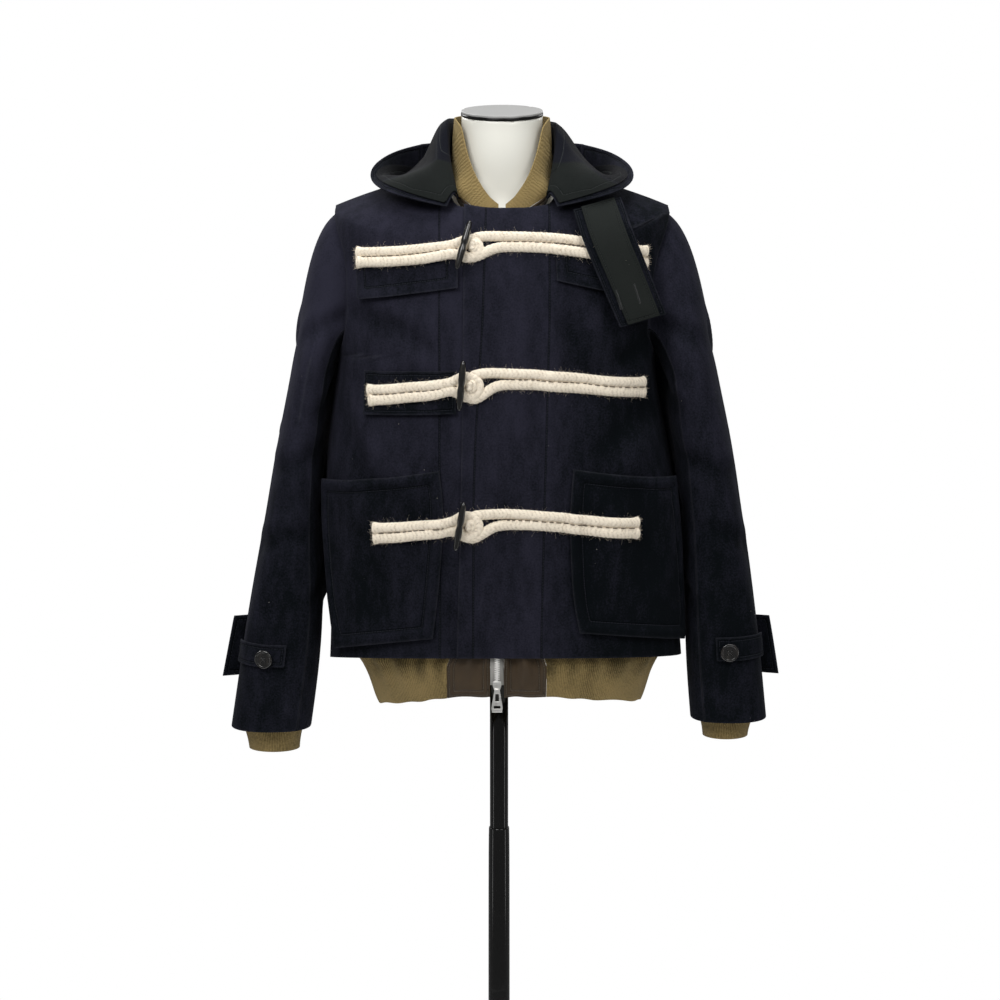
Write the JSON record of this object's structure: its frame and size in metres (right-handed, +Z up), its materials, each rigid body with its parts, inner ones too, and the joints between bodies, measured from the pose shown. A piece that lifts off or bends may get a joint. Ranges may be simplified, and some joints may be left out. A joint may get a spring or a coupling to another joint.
{
  "type": "wool blouson on a dress form stand",
  "caption": "Hooded wool blouson with rope-and-toggle front, patch pockets and ribbed inner layer, worn by a limbless dress form on a round-base stand",
  "frame": {"origin": "The centre of the round base's underside, on the stand's axis, on the floor.", "axes": "+Z is up, the garment's front faces -Y, and +X is the wearer's left. The garment hangs 4 mm to +X of the stand's axis."},
  "size_m": [0.7578, 0.377, 1.5016],
  "materials": {
    "navy_melton": "felted wool",
    "dark_twill": "twill",
    "olive_rib": "ribbed knit",
    "brown_nylon": "plain woven nylon",
    "natural_rope": "twisted natural fibre",
    "dark_horn": "polished",
    "zip_metal": "polished",
    "zip_tape": "woven tape with metal teeth",
    "form_shell": "satin",
    "cap_grey": "satin",
    "black_gloss": "gloss"
  },
  "bodies": {
    "stand": {"stand_base": "black_gloss", "stand_lower_tube": "black_gloss"},
    "upper": {"back": "navy_melton", "front_left": "navy_melton", "front_right": "navy_melton", "sleeve_upper_left": "navy_melton", "sleeve_upper_right": "navy_melton", "sleeve_under_left": "navy_melton", "sleeve_under_right": "navy_melton", "hood_left": "navy_melton", "hood_middle": "navy_melton", "hood_right": "navy_melton", "chest_flap_left": "navy_melton", "chest_flap_right": "navy_melton", "middle_patch": "navy_melton", "pocket_left": "navy_melton", "pocket_right": "navy_melton", "throat_tab": "navy_melton", "cuff_patch_left": "navy_melton", "cuff_patch_right": "navy_melton", "cuff_strap_left": "navy_melton", "cuff_strap_right": "navy_melton", "hood_lining": "dark_twill", "throat_tab_facing": "dark_twill", "rope_top_left": "natural_rope", "rope_top_right": "natural_rope", "rope_middle_left": "natural_rope", "rope_middle_right": "natural_rope", "rope_low_left": "natural_rope", "rope_low_right": "natural_rope", "toggle_top": "dark_horn", "toggle_middle": "dark_horn", "toggle_low": "dark_horn", "button_left": "dark_horn", "button_right": "dark_horn", "rib_collar": "olive_rib", "rib_hem": "olive_rib", "rib_cuff_left": "olive_rib", "rib_cuff_right": "olive_rib", "nylon_neck_left": "brown_nylon", "nylon_neck_right": "brown_nylon", "nylon_hem_left": "brown_nylon", "nylon_hem_right": "brown_nylon", "zip_chain": "zip_tape", "zip_slider": "zip_metal", "form_torso": "form_shell", "form_neck_band": "black_gloss", "form_neck_cap": "cap_grey", "stand_upper_tube": "black_gloss"},
    "pull": {"zip_pull": "zip_metal"}
  },
  "joints": [
    {"name": "height", "type": "slide", "parent": "stand", "child": "upper", "axis": [0, 0, 1], "range_m": [-0.1, 0.15]},
    {"name": "pull_swing", "type": "hinge", "parent": "upper", "child": "pull", "pos_m": [-0.0026, -0.14785, 0.74216], "axis": [-1, 0, 0], "range_deg": [0, 80]}
  ]
}
